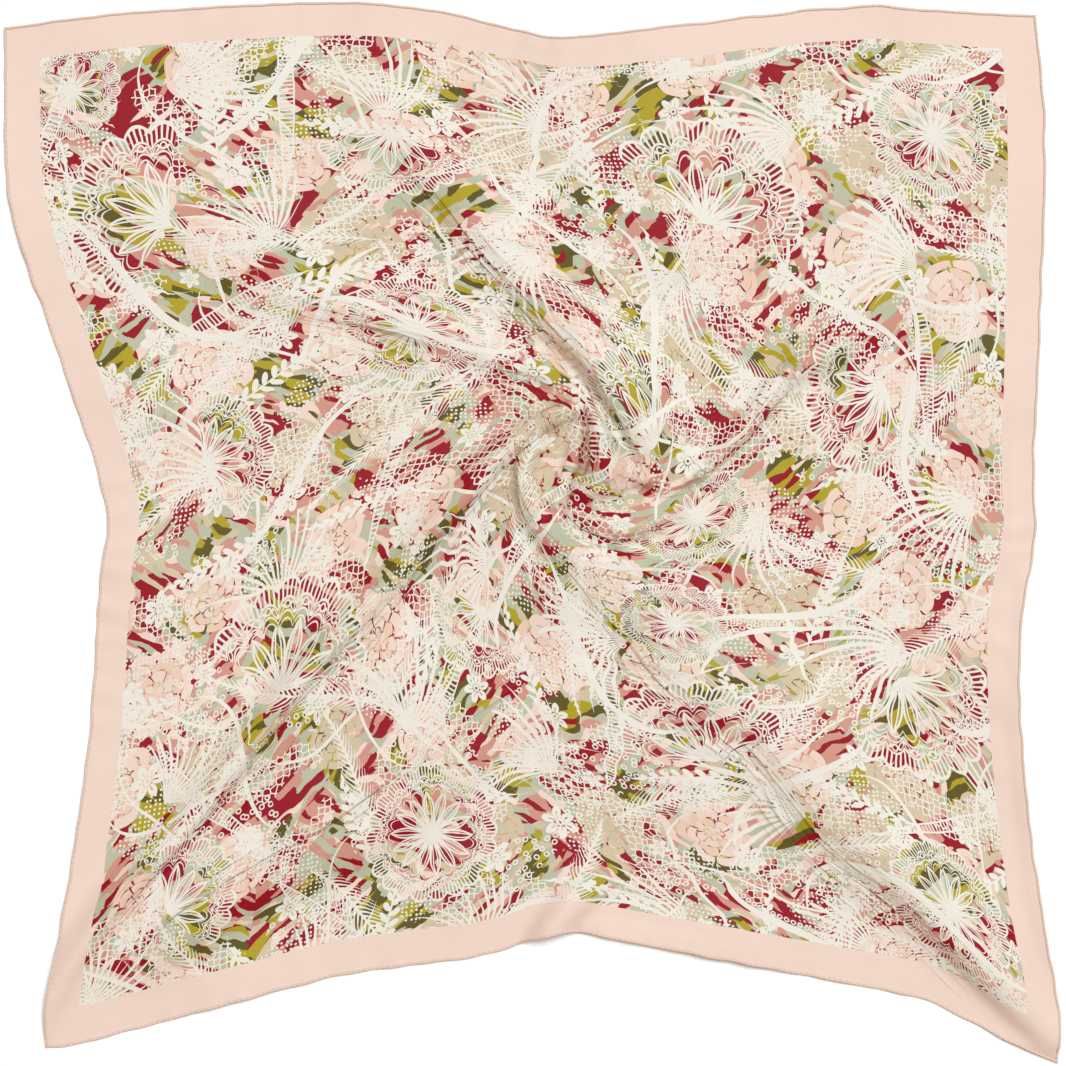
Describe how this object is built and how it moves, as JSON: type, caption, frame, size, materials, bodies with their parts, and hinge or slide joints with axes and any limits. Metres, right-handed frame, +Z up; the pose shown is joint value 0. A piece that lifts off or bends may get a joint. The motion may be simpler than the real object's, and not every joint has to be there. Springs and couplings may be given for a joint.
{
  "type": "lace-print square scarf",
  "caption": "Square silk twill scarf with hand-rolled hems and a printed lace and flower design, laid face up with its middle gathered into a soft twist.",
  "frame": {"origin": "under the middle of the laid-out scarf's box, on the surface that it lies on", "axes": "+Z up, out of the printed face; +Y towards the top side; +X towards the right side"},
  "size_m": [0.9138, 0.9189, 0.0342],
  "materials": {
    "printed_silk_twill": "silk twill, screen printed with cream lace over crimson, rose, sage, sand and olive, inside a plain blush border, soft sheen",
    "rolled_silk_hem": "blush silk twill, rolled by hand and slip-stitched"
  },
  "bodies": {
    "root": {"panel": "printed_silk_twill", "hem_top": "rolled_silk_hem", "hem_right": "rolled_silk_hem", "hem_bottom": "rolled_silk_hem", "hem_left": "rolled_silk_hem"}
  },
  "joints": []
}
